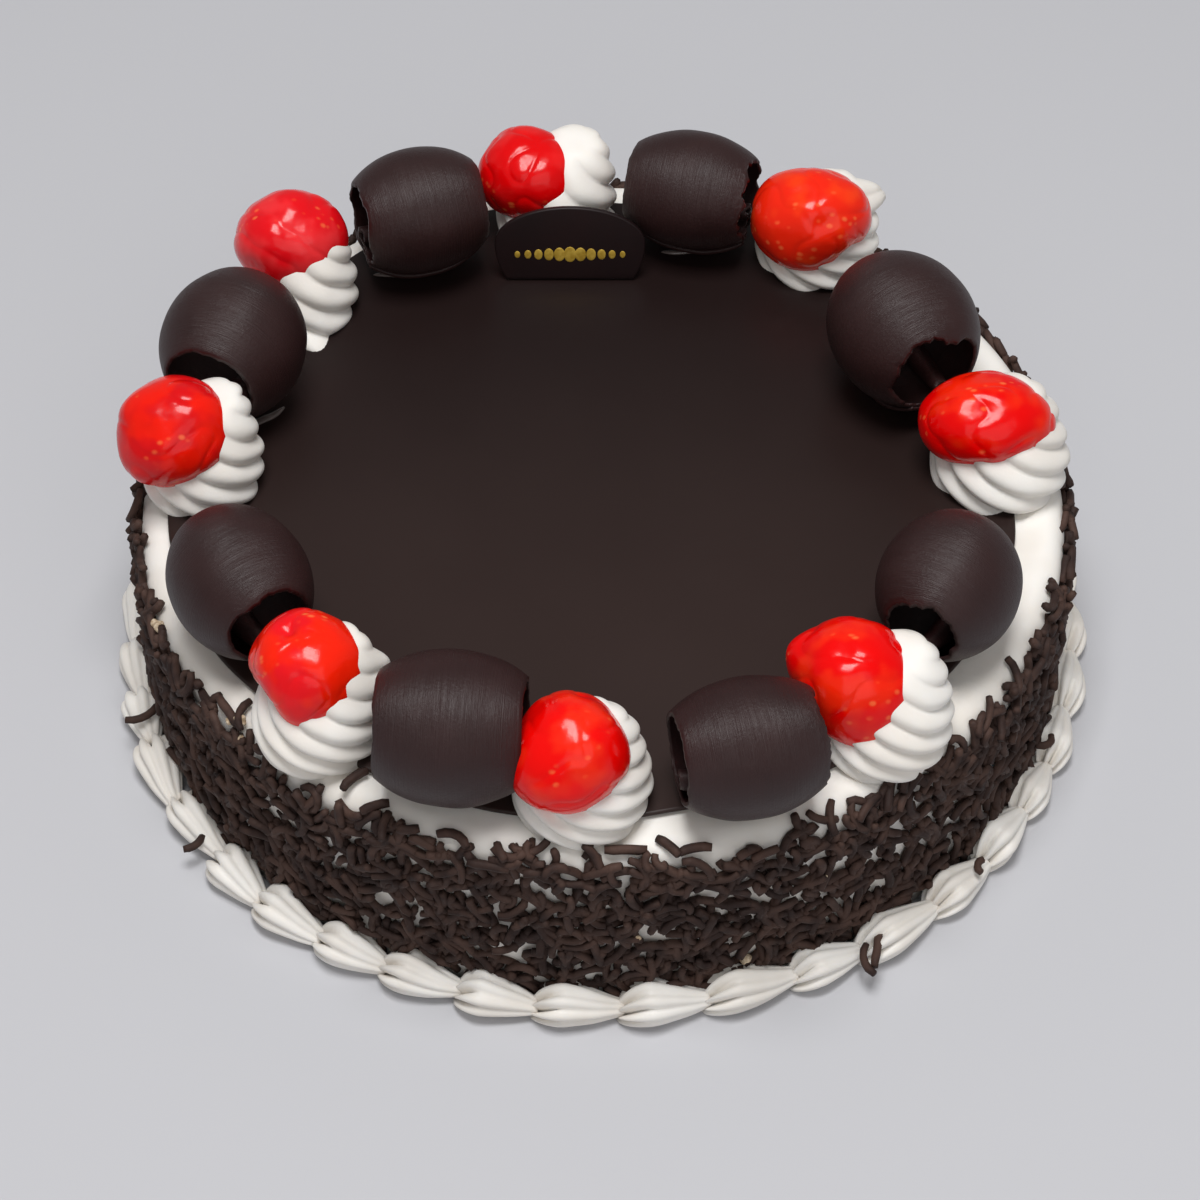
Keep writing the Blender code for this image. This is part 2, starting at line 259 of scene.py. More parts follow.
class Finish:
    """A material on one Principled shader."""

    def __init__(self, name):
        self.material = bpy.data.materials.new(name)
        self.material.use_nodes = True
        self.tree = self.material.node_tree
        self.shader = self.tree.nodes["Principled BSDF"]

    def feed(self, node, inputs):
        for name, value in inputs.items():
            socket = next(item for item in node.inputs if item.identifier == name)
            if isinstance(value, Link):
                self.tree.links.new(value.socket, socket)
            else:
                socket.default_value = value

    def node(self, kind, settings, inputs, output=None):
        """Add a node: its settings first, then its inputs. Return the named or first output."""
        node = self.tree.nodes.new(kind)
        for name, value in settings.items():
            setattr(node, name, value)
        self.feed(node, inputs)
        if output:
            return Link(self, node.outputs[output])
        return Link(self, next(item for item in node.outputs if item.enabled))

    def surface(self, **inputs):
        """Feed the shader. Underscores stand for the spaces in its inputs' names."""
        self.feed(self.shader, {name.replace("_", " "): value for name, value in inputs.items()})
        return self.material

    def place(self, shift=(0.0, 0.0, 0.0), stretch=(1.0, 1.0, 1.0)):
        spot = self.node("ShaderNodeTexCoord", {}, {}, "Object")
        inputs = {"Vector": spot, "Location": shift, "Scale": stretch}
        return self.node("ShaderNodeMapping", {}, inputs)

    def noise(self, place, scale, detail=2.0, roughness=0.5, distortion=0.0):
        inputs = {
            "Vector": place,
            "Scale": scale,
            "Detail": detail,
            "Roughness": roughness,
            "Distortion": distortion,
        }
        return self.node("ShaderNodeTexNoise", {}, inputs, "Fac")

    def cells(self, place, scale):
        inputs = {"Vector": place, "Scale": scale}
        return self.node("ShaderNodeTexVoronoi", {}, inputs, "Distance")

    def mix(self, share, first, second):
        inputs = {"Factor_Float": share, "A_Color": first, "B_Color": second}
        return self.node("ShaderNodeMix", {"data_type": "RGBA"}, inputs)

    def bump(self, height, distance, strength=1.0):
        inputs = {"Height": height, "Distance": distance, "Strength": strength}
        return self.node("ShaderNodeBump", {}, inputs)


def srgb(red, green, blue):
    """A colour given as 0 to 255, in the shader's linear scale."""
    linear = []
    for part in (red, green, blue):
        share = part / 255
        linear.append(share / 12.92 if share <= 0.04045 else ((share + 0.055) / 1.055) ** 2.4)
    return (*linear, 1.0)


CREAM_BRIGHT = srgb(244, 240, 234)
CREAM_DULL = srgb(236, 230, 222)
# The glaze's dark colour at the back and its lighter colour at the front; the front's lightness is a
# painted sheen of reflection.
GLAZE_DARK = srgb(24, 14, 14)
GLAZE_PAINTED_SHEEN = srgb(52, 39, 36)
# Painted glint: a pale colour for the wet beads, standing in for the glints on them.
BEAD_PAINTED_GLINT = srgb(126, 114, 110)
CURL_DARK = srgb(32, 14, 14)
CURL_LIGHT = srgb(54, 29, 28)
STRAND_DARK = srgb(44, 29, 25)
STRAND_LIGHT = srgb(76, 55, 47)
PLAQUE_DARK = srgb(24, 18, 19)
CRUMB_PALE = srgb(214, 196, 170)
CRUMB_DARK = srgb(176, 150, 120)
GOLD = srgb(178, 142, 44)
GOLD_PALE = srgb(206, 172, 70)
CHERRY_FLECK = srgb(252, 128, 70)
FLOOR_PALE = srgb(196, 196, 200)
FLOOR_SHADE = srgb(186, 186, 190)


def cream_finish():
    """Whipped cream: matt, very soft, faintly pitted."""
    finish = Finish("whipped_cream")
    place = finish.place()
    soft = finish.noise(place, 70.0)
    pits = finish.noise(place, 900.0, detail=3.0)
    colour = finish.mix(soft.fade(0.35, 0.65), CREAM_DULL, CREAM_BRIGHT)
    return finish.surface(
        Base_Color=colour,
        Roughness=0.42 + 0.2 * soft,
        Normal=finish.bump(pits, 0.08 * MM, 0.5),
        Subsurface_Weight=0.15,
        Subsurface_Scale=2.0 * MM,
        Subsurface_Radius=(1.0, 0.9, 0.75),
        Specular_IOR_Level=0.35,
    )


def glaze_finish():
    """Dark chocolate glaze: smooth, with soft waves and cloudy gloss, and a painted sheen that makes
    its colour lighter towards the front.
    """
    finish = Finish("dark_glaze")
    place = finish.place()
    clouds = finish.noise(place, 22.0, detail=3.0)
    waves = finish.noise(finish.place(stretch=(1.0, 1.3, 1.0)), 18.0, detail=1.0)
    specks = finish.noise(place, 1400.0, detail=2.0)
    across = finish.node("ShaderNodeSeparateXYZ", {}, {"Vector": place}, output="Y")
    # Painted sheen: the colour grows lighter towards the front (-Y) in place of the glaze's
    # reflection, with random clouds on top.
    painted_sheen_fade = across.fade(-70 * MM, 70 * MM)
    tone = 0.75 * (1.0 - painted_sheen_fade) + 0.25 * clouds
    colour = finish.mix(tone, GLAZE_DARK, GLAZE_PAINTED_SHEEN)
    height = waves + 0.02 * specks
    return finish.surface(
        Base_Color=colour,
        Roughness=0.3 + 0.1 * clouds,
        Normal=finish.bump(height, 0.5 * MM, 0.3),
        Specular_IOR_Level=0.2,
    )


def bead_finish():
    """The glaze where it is still wet: glassy, with a pale painted glint in its colour."""
    finish = Finish("wet_glaze")
    clouds = finish.noise(finish.place(), 300.0)
    return finish.surface(
        # The pale colour is a painted glint, mixed in by clouds.
        Base_Color=finish.mix(clouds, GLAZE_PAINTED_SHEEN, BEAD_PAINTED_GLINT),
        Roughness=0.12 + 0.1 * clouds,
        Specular_IOR_Level=0.6,
    )


def curl_finish():
    """Rolled chocolate: satin, with fine lines that run round the roll."""
    finish = Finish("rolled_chocolate")
    sheet = finish.node("ShaderNodeUVMap", {"uv_map": "sheet"}, {})
    inputs = {"Vector": sheet, "Scale": (3.0, 150.0, 1.0)}
    drawn = finish.node("ShaderNodeMapping", {}, inputs)
    lines = finish.noise(drawn, 1.0, detail=4.0, roughness=0.65)
    place = finish.place()
    bloom = finish.noise(place, 120.0, detail=3.0)
    grain = finish.noise(place, 1500.0, detail=2.0)
    colour = finish.mix(bloom * 0.6 + lines * 0.4, CURL_DARK, CURL_LIGHT)
    height = lines + 0.4 * grain
    return finish.surface(
        Base_Color=colour,
        Roughness=0.38 + 0.14 * bloom,
        Normal=finish.bump(height, 0.25 * MM, 0.7),
        Specular_IOR_Level=0.42,
    )


def strand_finish():
    """Chocolate strands: dull, each a little lighter or darker than the next."""
    finish = Finish("strand_chocolate")
    place = finish.place()
    tone = finish.noise(place, 190.0, detail=2.0)
    grain = finish.noise(place, 1800.0, detail=3.0)
    colour = finish.mix(tone.fade(0.3, 0.7), STRAND_DARK, STRAND_LIGHT)
    return finish.surface(
        Base_Color=colour,
        Roughness=0.62 + 0.2 * grain,
        Normal=finish.bump(grain, 0.2 * MM, 0.5),
        Specular_IOR_Level=0.3,
    )


# Each cherry's main red and the red of its thin parts.
CHERRY_REDS = (
    (srgb(240, 6, 3), srgb(246, 48, 20)),
    (srgb(246, 34, 8), srgb(226, 10, 34)),
    (srgb(238, 26, 8), srgb(204, 6, 22)),
    (srgb(226, 16, 26), srgb(240, 56, 60)),
    (srgb(222, 4, 8), srgb(234, 34, 34)),
    (srgb(240, 38, 14), srgb(248, 66, 18)),
    (srgb(232, 1, 1), srgb(244, 44, 12)),
    (srgb(236, 2, 2), srgb(246, 46, 14)),
)


def cherry_finish(number):
    """Glace cherry: wet and bright, with paler flecks and thin spots under its syrup."""
    main, thin = CHERRY_REDS[number]
    finish = Finish(f"glace_cherry_{number + 1}")
    place = finish.place(shift=(0.1 * number, 0.0, 0.0))
    flesh = finish.noise(place, 110.0, detail=2.0)
    flecks = finish.cells(finish.place(stretch=(1.0, 1.5, 1.2)), 330.0)
    wrinkles = finish.noise(place, 200.0, detail=3.0, distortion=0.6)
    fine = finish.noise(place, 700.0, detail=2.0)
    patch = flesh.fade(0.45, 0.62)
    clusters = finish.noise(place, 90.0).fade(0.5, 0.6)
    fleck = (1.0 - flecks.fade(0.08, 0.34)) * clusters * 0.6
    colour = finish.mix(patch * 0.7, main, thin)
    colour = finish.mix(fleck, colour, CHERRY_FLECK)
    height = wrinkles + 0.1 * fine
    return finish.surface(
        Base_Color=colour,
        Roughness=0.1 + 0.14 * fine,
        Normal=finish.bump(height, 0.12 * MM, 0.4),
        Subsurface_Weight=0.2,
        Subsurface_Scale=3.0 * MM,
        Subsurface_Radius=(1.0, 0.06, 0.04),
        Specular_IOR_Level=0.26,
    )


def plaque_finish():
    """Moulded chocolate: near black and smooth."""
    finish = Finish("moulded_chocolate")
    place = finish.place()
    clouds = finish.noise(place, 90.0, detail=3.0)
    grain = finish.noise(place, 1200.0, detail=2.0)
    return finish.surface(
        Base_Color=finish.mix(clouds, PLAQUE_DARK, CURL_DARK),
        Roughness=0.36 + 0.15 * clouds,
        Normal=finish.bump(grain, 0.04 * MM, 0.5),
        Specular_IOR_Level=0.25,
    )


def gold_finish():
    """Edible gold, brushed on."""
    finish = Finish("edible_gold")
    brushed = finish.noise(finish.place(), 900.0, detail=3.0)
    return finish.surface(
        Base_Color=finish.mix(brushed.fade(0.3, 0.7), GOLD, GOLD_PALE),
        Roughness=0.4 + 0.2 * brushed,
        Metallic=0.3,
    )


def crumb_finish():
    """Sponge crumb: pale and dry."""
    finish = Finish("sponge_crumb")
    grain = finish.noise(finish.place(), 1500.0, detail=3.0)
    return finish.surface(
        Base_Color=finish.mix(grain.fade(0.35, 0.65), CRUMB_DARK, CRUMB_PALE),
        Roughness=0.8,
        Normal=finish.bump(grain, 0.4 * MM, 0.8),
    )


def floor_finish():
    """A plain pale sweep, barely clouded."""
    finish = Finish("pale_floor")
    clouds = finish.noise(finish.place(), 6.0, detail=3.0)
    return finish.surface(
        Base_Color=finish.mix(clouds * 0.15, FLOOR_PALE, FLOOR_SHADE),
        Roughness=0.7,
    )


def make_piece(name, shape, material, replaced=()):
    """A piece of the cake from a filled bmesh, with its place in its mesh."""
    mesh = bpy.data.meshes.new(name)
    shape.to_mesh(mesh)
    shape.free()
    mesh.shade_smooth()
    mesh.materials.append(material)
    piece = bpy.data.objects.new(name, mesh)
    bpy.context.scene.collection.objects.link(piece)
    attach(piece, "root")
    if replaced:
        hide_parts(*replaced)
    return piece


def polar(bearing, distance, height=0.0):
    """A point at a bearing in radians."""
    return Vector((distance * math.cos(bearing), distance * math.sin(bearing), height))


def wander(place, scale, seed=0.0):
    """A smooth random number from -1 to 1 that changes over about 1 / scale metres."""
    return noise.noise(place * scale + Vector((0.0, 0.0, 17.3 * seed)))


def ease(share):
    """0 to 1 with soft ends, held at 0 and 1 outside."""
    share = min(max(share, 0.0), 1.0)
    return share * share * (3 - 2 * share)


def turned(profile, steps):
    """Turn a profile of (radius, height) about Z."""
    shape = bmesh.new()
    corners = [shape.verts.new((radius, 0.0, height)) for radius, height in profile]
    edges = [shape.edges.new(pair) for pair in zip(corners, corners[1:])]
    bmesh.ops.spin(
        shape,
        geom=corners + edges,
        cent=(0.0, 0.0, 0.0),
        axis=(0.0, 0.0, 1.0),
        angle=math.tau,
        steps=steps,
        use_merge=True,
    )
    bmesh.ops.remove_doubles(shape, verts=shape.verts, dist=JOIN_WITHIN)
    bmesh.ops.recalc_face_normals(shape, faces=shape.faces)
    return shape


def make_body(cream):
    """The cream-coated cake, with the faint waves that a palette knife leaves."""
    profile = [(0.0, CAKE_HEIGHT), (GLAZE_RADIUS * 0.5, CAKE_HEIGHT)]
    profile += [(CAKE_RADIUS - inset * MM, CAKE_HEIGHT) for inset in TOP_RINGS]
    for step in range(RIM_STEPS + 1):
        angle = math.pi / 2 * step / RIM_STEPS
        out = CAKE_RADIUS - RIM_ROUND + RIM_ROUND * math.sin(angle)
        up = CAKE_HEIGHT - RIM_ROUND + RIM_ROUND * math.cos(angle)
        profile.append((out, up))
    wall = CAKE_HEIGHT - RIM_ROUND
    profile += [(CAKE_RADIUS, wall * share) for share in WALL_LEVELS]
    profile.append((0.0, 0.0))
    shape = turned(profile, BODY_STEPS)
    for vertex in shape.verts:
        out = Vector((vertex.co.x, vertex.co.y, 0.0))
        if out.length < GLAZE_RADIUS * 0.8 or vertex.co.z < JOIN_WITHIN:
            continue
        near_rim = ease((vertex.co.z - wall) / RIM_ROUND)
        shove = KNIFE_WAVE * wander(vertex.co, KNIFE_SCALE)
        dip = RIM_WAVE * near_rim * (wander(vertex.co, RIM_WAVE_SCALE, 3) - 0.4)
        vertex.co += out.normalized() * (shove - KNIFE_WAVE * 0.5)
        vertex.co.z += dip
    return make_piece("cream_body", shape, cream, ["cream_cake"])


def make_glaze(glaze):
    """A poured sheet with soft swells, a rounded edge and an uneven outline."""
    low = DECK - GLAZE_THICKNESS
    lip = GLAZE_THICKNESS / 2
    profile = [(GLAZE_RADIUS * ring / GLAZE_RINGS, DECK) for ring in range(GLAZE_RINGS)]
    for step in range(GLAZE_LIP_STEPS + 1):
        angle = math.pi / 2 - math.pi * step / GLAZE_LIP_STEPS
        out = GLAZE_RADIUS - lip + lip * math.cos(angle)
        profile.append((out, low + lip + lip * math.sin(angle)))
    profile.append((0.0, low))
    shape = turned(profile, GLAZE_STEPS)
    for vertex in shape.verts:
        distance = vertex.co.xy.length
        if distance < JOIN_WITHIN:
            continue
        bearing = math.atan2(vertex.co.y, vertex.co.x)
        outer = ease((distance / GLAZE_RADIUS - 0.6) / 0.4)
        edge = GLAZE_EDGE_WAVE * wander(polar(bearing, GLAZE_RADIUS), GLAZE_EDGE_SCALE, 5)
        edge -= GLAZE_EDGE_INSET
        stretch = 1 + outer * edge / distance
        vertex.co.x = vertex.co.x * stretch + GLAZE_SHIFT * outer
        vertex.co.y *= stretch
        if vertex.co.z > DECK - JOIN_WITHIN:
            vertex.co.z += GLAZE_SWELL * (wander(vertex.co, GLAZE_SWELL_SCALE, 1) - 0.6)
    return make_piece("poured_glaze", shape, glaze, ["chocolate_glaze"])


def ridge(angle, count):
    """1 on a ridge's round crest and 0 in the sharp valley between two."""
    return abs(math.cos(angle * count / 2))


def shell_starts(chance):
    """Bearings where the shells begin, all the way round, in degrees."""
    starts = list(SHELL_FRONT)
    rest = SHELL_COUNT - len(starts) + 1
    pitch = (360 + starts[0] - starts[-1]) / rest
    for step in range(1, rest):
        starts.append(SHELL_FRONT[-1] + pitch * (step + chance.uniform(-0.12, 0.12)))
    return starts + [SHELL_FRONT[0] + 360]


def shell_reach(share):
    """Half the shell's width at a share of its length: a blunt head, then a long tail."""
    if share < SHELL_FULLEST:
        return math.sqrt(1 - (1 - share / SHELL_FULLEST) ** 2)
    fade = (share - SHELL_FULLEST) / (1 - SHELL_FULLEST)
    return 1 - (1 - SHELL_TAIL) * fade**1.25


def add_shell(shape, start, end, chance):
    """One piped shell, made from a ball drawn out along the ring."""
    ball = bmesh.ops.create_uvsphere(
        shape, u_segments=SHELL_RIDGES * 6, v_segments=SHELL_RINGS, radius=1.0
    )
    width = SHELL_WIDTH * chance.uniform(0.92, 1.05)
    height = SHELL_HEIGHT * chance.uniform(0.92, 1.04)
    line = SHELL_LINE + chance.uniform(-0.5, 0.5) * MM
    tail_aside = chance.uniform(-0.6, 0.9) * MM
    turn = chance.uniform(-0.25, 0.25)
    twist = chance.uniform(-0.35, 0.1)
    length = math.radians(end - start) * SHELL_LINE * SHELL_OVERLAP
    for vertex in ball["verts"]:
        share = math.acos(max(-1.0, min(1.0, vertex.co.z))) / math.pi
        around = math.atan2(vertex.co.y, vertex.co.x)
        crest = ridge(around, SHELL_RIDGES)
        depth = SHELL_RIDGE_DEPTH * (1 - 0.45 * share)
        reach = shell_reach(share) * (1 - depth * (1 - crest))
        set_back = (SHELL_STEPPED * (1 - crest) - 0.05) * (1 - ease(share / 0.45))
        angle = around + turn + twist * share
        sideways = width / 2 * reach * math.cos(angle)
        rise = height / 2 * (0.86 * shell_reach(share) + 0.3 * share * share)
        up = rise + height / 2 * reach * math.sin(angle)
        bearing = math.radians(start) + length * (share + set_back) / SHELL_LINE
        out = line + sideways + tail_aside * share * share
        place = polar(bearing, max(out, CAKE_RADIUS - SHELL_SINK), max(up, 0.0))
        waver = (wander(place, SHELL_WAVER_SCALE, 1), wander(place, SHELL_WAVER_SCALE, 2), 0.0)
        place += Vector(waver) * SHELL_WAVER
        vertex.co = place


def make_border(cream):
    """The piped shells, each head laid over the tail before it."""
    chance = random.Random(11)
    starts = shell_starts(chance)
    shape = bmesh.new()
    for start, end in zip(starts, starts[1:]):
        add_shell(shape, start, end, chance)
    return make_piece("piped_border", shape, cream, ["cream_shell_border"])


def swirl_place(number):
    bearing, distance = SWIRLS[number][:2]
    return polar(math.radians(bearing), distance * MM, DECK)


def make_swirl(number, cream):
    """A ball reshaped to a fluted, twisted dome, with a tip where the nozzle left it."""
    width, height, aside, backward = (measure * MM for measure in SWIRLS[number][2:6])
    twist = math.radians(SWIRLS[number][6])
    shape = bmesh.new()
    bmesh.ops.create_uvsphere(shape, u_segments=SWIRL_RIDGES * 12, v_segments=SWIRL_RINGS, radius=1.0)
    middle = swirl_place(number)
    for vertex in shape.verts:
        rise = (vertex.co.z + 1) / 2
        ring = math.hypot(vertex.co.x, vertex.co.y)
        around = math.atan2(vertex.co.y, vertex.co.x)
        reach = width / 2 * ring**0.5 * (1 - SWIRL_TAPER * rise**1.5)
        crest = ridge(around, SWIRL_RIDGES)
        depth = SWIRL_RIDGE_DEPTH * (1 - (1 - SWIRL_TOP_DEPTH) * rise)
        depth *= 1 + SWIRL_UNEVEN * wander(vertex.co, 1.1, number + 60)
        reach *= 1 - depth * (1 - crest) * ease(ring * 1.6)
        around += twist * rise + SWIRL_START * number
        up = (height + SWIRL_FOOT_DROP) * rise - SWIRL_FOOT_DROP
        place = polar(around, reach, up) + Vector((aside, backward, 0.0)) * rise * rise
        for tip_swirl, tip_bearing, tip_rise, tip_reach, spread in SWIRL_TIPS:
            if tip_swirl == number:
                swing = math.remainder(around - math.radians(tip_bearing), math.tau)
                off = (swing / spread) ** 2 + ((rise - tip_rise) / SWIRL_TIP_TALL) ** 2
                place += polar(math.radians(tip_bearing), tip_reach * MM * math.exp(-off))
        across = wander(place, SWIRL_WAVER_SCALE, number)
        onward = wander(place, SWIRL_WAVER_SCALE, number + 9)
        place += Vector((across, onward, 0.0)) * SWIRL_WAVER
        vertex.co = middle + place
    foot = CAKE_HEIGHT - SWIRL_SINK
    for vertex in shape.verts:
        vertex.co.z = max(vertex.co.z, foot)
    return make_piece(f"piped_swirl_{number + 1}", shape, cream, [f"cream_swirl_{number + 1}"])


# The camera's sideways and upright directions, in which the cherries' outlines are shaped.
ASIDE = Vector((1.0, 0.0, 0.0))
UPRIGHT = Vector((0.0, math.sin(CAMERA_PITCH), math.cos(CAMERA_PITCH)))
TOWARDS = ASIDE.cross(UPRIGHT)

# Pushes and dents on each cherry: aside, upright, towards, amount in mm and sharpness.
# After them, in mm: how far the whole skin swells, its lumps, folds, ripples and grain.
CHERRY_DENTS = (
    (
        (-0.9, -0.6, 0.2, 2.2, 6),
        (0.6, -0.9, 0.2, -1.6, 6),
        (0.7, 0.8, 0.0, -1.0, 5),
        (-0.3, 0.2, 0.9, -0.5, 20),
    ),
    (
        (-0.9, -0.6, 0.2, -2.8, 9),
        (0.1, -1.0, 0.2, 1.0, 8),
        (-0.3, 0.7, 0.7, -1.5, 60),
        (0.9, 0.2, 0.0, 1.0, 6),
    ),
    (
        (-0.7, -0.9, 0.2, 1.2, 8),
        (0.0, 0.2, 1.0, -0.8, 12),
        (-0.4, -0.1, 0.9, -0.8, 40),
        (0.8, -0.8, 0.1, -0.9, 6),
    ),
    (
        (-0.8, 0.8, 0.1, -0.8, 6),
        (0.9, -0.1, 0.1, 0.6, 6),
        (0.2, 0.1, 1.0, -0.4, 30),
    ),
    (
        (0.9, -0.1, 0.4, 2.4, 4),
        (-0.7, -0.8, 0.1, -0.6, 6),
        (0.1, 0.2, 1.0, -0.4, 20),
    ),
    (
        (0.75, -0.75, 0.2, -1.8, 18),
        (-0.2, 0.4, 0.9, -0.8, 30),
        (0.8, 0.3, 0.5, 0.8, 10),
        (0.2, -0.2, 1.0, -0.9, 60),
    ),
    (
        (0.0, -1.0, 0.0, -1.2, 4),
        (-0.2, 0.2, 1.0, -0.5, 30),
        (0.8, -0.7, 0.2, -0.6, 8),
    ),
    (
        (-1.0, 0.5, 0.1, 1.8, 20),
        (0.3, -1.0, 0.1, 1.0, 8),
        (-0.8, -0.6, 0.1, -2.4, 7),
        (-0.2, 0.5, 0.9, -0.7, 40),
    ),
)
CHERRY_SWELL = 0.6
CHERRY_LUMP = 0.8
CHERRY_FOLD = 0.3
CHERRY_SKIN = 0.09
CHERRY_GRAIN = 0.025


def make_cherry(number):
    """A ball pushed and dented to the cherry's own form, with folds and wrinkled skin."""
    low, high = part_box(f"cherry_{number + 1}")
    middle = (low + high) / 2
    half = (high - low) / 2
    shape = bmesh.new()
    bmesh.ops.create_icosphere(shape, subdivisions=6, radius=1.0)
    for vertex in shape.verts:
        spoke = vertex.co.normalized()
        push = 0.0
        for aside, upright, towards, amount, sharpness in CHERRY_DENTS[number]:
            centre = (ASIDE * aside + UPRIGHT * upright + TOWARDS * towards).normalized()
            push += amount * MM * math.exp(sharpness * (spoke.dot(centre) - 1))
        folds = CHERRY_SWELL + CHERRY_LUMP * wander(spoke, 1.3, number)
        folds -= CHERRY_FOLD * (1 - abs(wander(spoke, 1.4, number + 20))) ** 9
        skin = CHERRY_SKIN * wander(spoke, 3.5, number + 40)
        skin += CHERRY_GRAIN * wander(spoke, 12.0, number)
        vertex.co = middle + Vector(map(lambda a, b: a * b, spoke, half))
        vertex.co += spoke * (push + (folds + skin) * MM)
    return make_piece(
        f"glace_cherry_{number + 1}", shape, cherry_finish(number), [f"cherry_{number + 1}"]
    )


def curl_line(radius, winding):
    """The sheet's outer face seen from the mouth: a full wrap, a tail and a small roll."""
    points = []
    for step in range(CURL_WRAP_STEPS):
        share = step / CURL_WRAP_STEPS
        angle = CURL_SEAM + winding * math.tau * share
        points.append(polar(angle, radius - (CURL_SHEET + CURL_SPACING) * share).xy)
    start = radius - CURL_SHEET - CURL_SPACING
    for step in range(CURL_TAIL_STEPS + 1):
        share = step / CURL_TAIL_STEPS
        angle = CURL_SEAM + winding * CURL_TAIL_TURN * share
        points.append(polar(angle, start + (CURL_TAIL_RADIUS * radius - start) * share * share).xy)
    onward = (points[-1] - points[-2]).normalized()
    inward = Vector((-onward.y, onward.x)) * winding
    middle = points[-1] + inward * CURL_ROLL_RADIUS
    for step in range(1, CURL_ROLL_STEPS + 1):
        turn = CURL_ROLL_SWEEP * step / CURL_ROLL_STEPS
        spoke = -inward * math.cos(turn) + onward * math.sin(turn)
        tightened = 1 - CURL_ROLL_TAPER * step / CURL_ROLL_STEPS
        points.append(middle + spoke * CURL_ROLL_RADIUS * tightened)
    return points


def make_curl(number, chocolate):
    """A flat sheet rolled to a barrel, its two mouths broken unevenly."""
    bearing, distance, length, width, turn = CURLS[number][:5]
    ragged_back, ragged_front, winding, mouth = CURLS[number][5:]
    radius = width / 2 * MM
    half_length = length / 2 * MM
    line = curl_line(radius, winding)
    steps = len(line) - 1
    shape = bmesh.new()
    shape.loops.layers.uv.new("sheet")
    bmesh.ops.create_grid(
        shape, x_segments=steps, y_segments=CURL_LENGTH_STEPS, size=0.5, calc_uvs=True
    )
    outer = shape.verts[:]
    wall = bmesh.ops.extrude_face_region(shape, geom=shape.faces[:], use_keep_orig=True)
    inner = [item for item in wall["geom"] if isinstance(item, bmesh.types.BMVert)]
    bulge = 1 - mouth**2
    for vertices, sheet in ((outer, 0.0), (inner, CURL_SHEET)):
        for vertex in vertices:
            step = round((vertex.co.x + 0.5) * steps)
            along = vertex.co.y * 2
            onward = (line[min(step + 1, steps)] - line[max(step - 1, 0)]).normalized()
            inward = Vector((-onward.y, onward.x)) * winding
            spot = line[step]
            edge = Vector((spot.x, spot.y, 0.0)).normalized()
            edge += Vector((0.0, 0.0, along * 2 + number))
            ragged = ragged_front if along > 0 else ragged_back
            tears = wander(edge, 1.3, 1) + 0.6 * wander(edge, 4.0, 2)
            tears += 0.35 * wander(edge, 10.0, 3)
            stretched = along * (1 + ragged * (tears - 0.7) * abs(along) ** 3)
            girth = math.sqrt(1 - bulge * min(stretched * stretched, 1.1))
            girth *= 1 + CURL_UNEVEN * wander(edge, 1.2, number)
            spot = spot * girth + inward * sheet
            vertex.co = (stretched * half_length, spot.x, spot.y)
    bmesh.ops.recalc_face_normals(shape, faces=shape.faces)
    place = Matrix.Translation(polar(math.radians(bearing), distance * MM, DECK + GAP + radius))
    place @= Matrix.Rotation(math.radians(bearing + 90 + turn), 4, "Z")
    bmesh.ops.transform(shape, matrix=place, verts=shape.verts)
    return make_piece(
        f"rolled_curl_{number + 1}", shape, chocolate, [f"chocolate_curl_{number + 1}"]
    )


def plaque_matrix():
    lowest = PLAQUE_FOOT * math.cos(PLAQUE_LEAN) + PLAQUE_THICKNESS / 2 * math.sin(PLAQUE_LEAN)
    x, y = PLAQUE_PLACE
    place = Matrix.Translation((x, y + PLAQUE_FOOT * math.sin(PLAQUE_LEAN), DECK + GAP + lowest))
    return place @ Matrix.Rotation(math.pi / 2 - PLAQUE_LEAN, 4, "X")


def make_plaque(chocolate):
    """The standing plate, its edges softened."""
    shape = bmesh.new()
    bmesh.ops.create_cone(
        shape,
        cap_ends=True,
        segments=PLAQUE_SEGMENTS,
        radius1=PLAQUE_RADIUS,
        radius2=PLAQUE_RADIUS,
        depth=PLAQUE_THICKNESS,
    )
    for vertex in shape.verts:
        if vertex.co.y > 0:
            vertex.co.y *= PLAQUE_TOP_SQUASH
    everything = shape.verts[:] + shape.edges[:] + shape.faces[:]
    foot = bmesh.ops.bisect_plane(
        shape, geom=everything, plane_co=(0, -PLAQUE_FOOT, 0), plane_no=(0, -1, 0), clear_outer=True
    )
    rim = [item for item in foot["geom_cut"] if isinstance(item, bmesh.types.BMEdge)]
    bmesh.ops.contextual_create(shape, geom=rim)
    sharp = [edge for edge in shape.edges if edge.calc_face_angle(0.0) > SHARP_EDGE]
    bmesh.ops.bevel(
        shape,
        geom=sharp,
        offset=PLAQUE_BEVEL,
        segments=PLAQUE_BEVEL_STEPS,
        profile=0.5,
        affect="EDGES",
        material=-1,
    )
    bmesh.ops.transform(shape, matrix=plaque_matrix(), verts=shape.verts)
    return make_piece("moulded_plaque", shape, chocolate, ["chocolate_plaque"])


def make_plaque_motif(gold):
    """A plain row of gold lozenges across the plaque, widest in the middle."""
    shape = bmesh.new()
    for step in range(-MOTIF_REACH, MOTIF_REACH + 1):
        size = (MOTIF_SIZE - MOTIF_TAPER * abs(step)) * MM
        flake = bmesh.ops.create_uvsphere(shape, u_segments=16, v_segments=8, radius=1.0)
        squash = Matrix.Diagonal((MOTIF_ASPECT * size, size, MOTIF_THICKNESS, 1.0))
        move = Matrix.Translation((step * MOTIF_PITCH, MOTIF_LINE, PLAQUE_THICKNESS / 2))
        bmesh.ops.transform(shape, matrix=plaque_matrix() @ move @ squash, verts=flake["verts"])
    return make_piece("plaque_motif", shape, gold)


